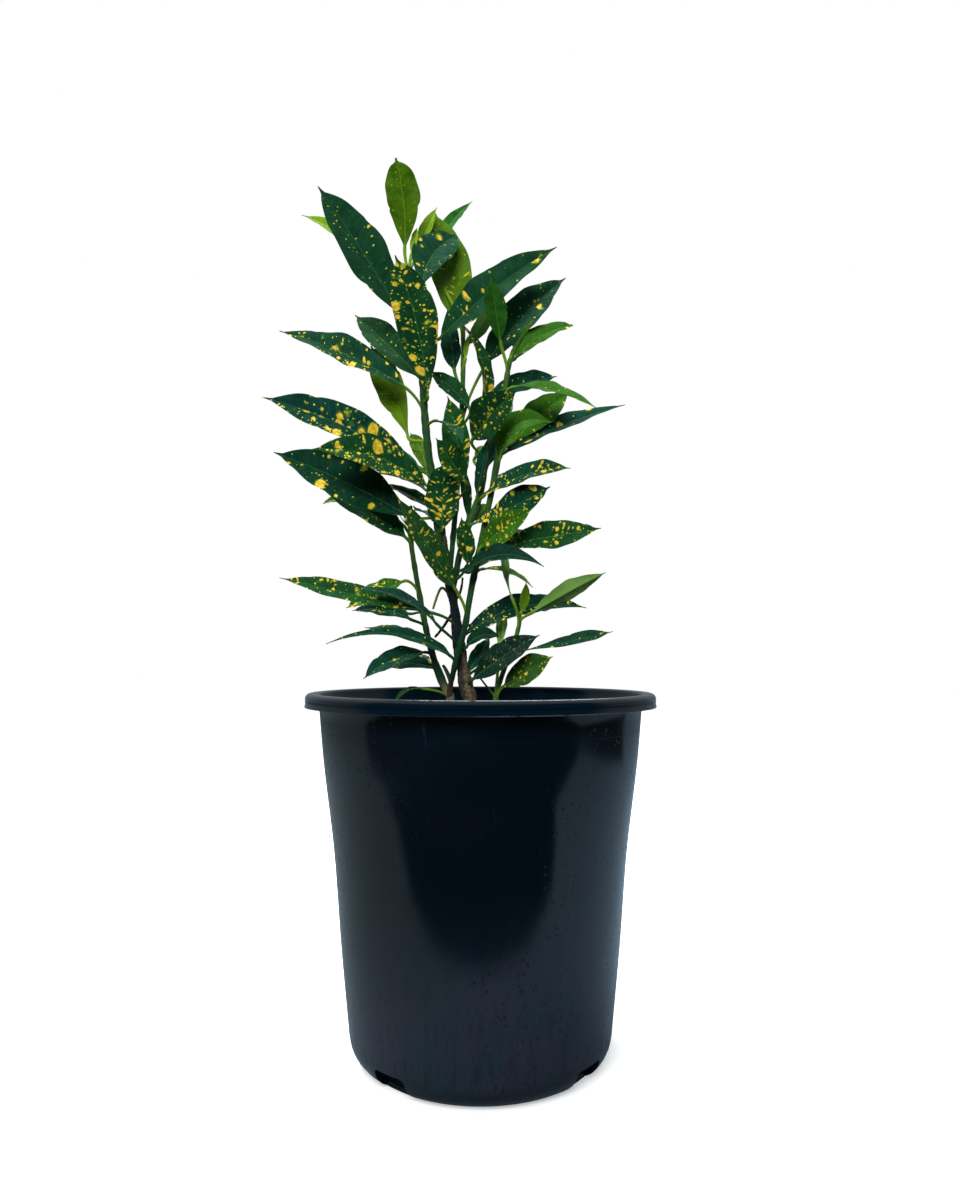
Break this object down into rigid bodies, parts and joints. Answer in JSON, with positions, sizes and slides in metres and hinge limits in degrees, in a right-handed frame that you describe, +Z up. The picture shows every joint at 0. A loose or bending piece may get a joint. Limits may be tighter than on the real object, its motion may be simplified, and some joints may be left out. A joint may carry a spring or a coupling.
{
  "type": "potted croton",
  "caption": "Croton with gold-spotted green leaves on upright stems, in a tall round plastic nursery pot with a rolled rim.",
  "frame": {"origin": "centre of the pot's flat foot, on the pot's axis", "axes": "+Z up along the pot's axis, -Y towards the side that the picture shows, +X to the right as seen there"},
  "size_m": [0.2762, 0.2508, 0.6509],
  "materials": {
    "pot_plastic": "satin",
    "soil": "rough",
    "woody_stem": "rough bark, leaves satin",
    "green_leaf": "satin",
    "young_leaf": "satin"
  },
  "bodies": {
    "root": {"pot": "pot_plastic", "soil": "soil", "main_stem": "woody_stem", "tall_shoot": "green_leaf", "young_leaves": "young_leaf", "centre_shoot": "green_leaf", "inner_shoot": "green_leaf", "right_shoot": "green_leaf", "left_plant": "green_leaf", "small_plant": "green_leaf"}
  },
  "joints": []
}
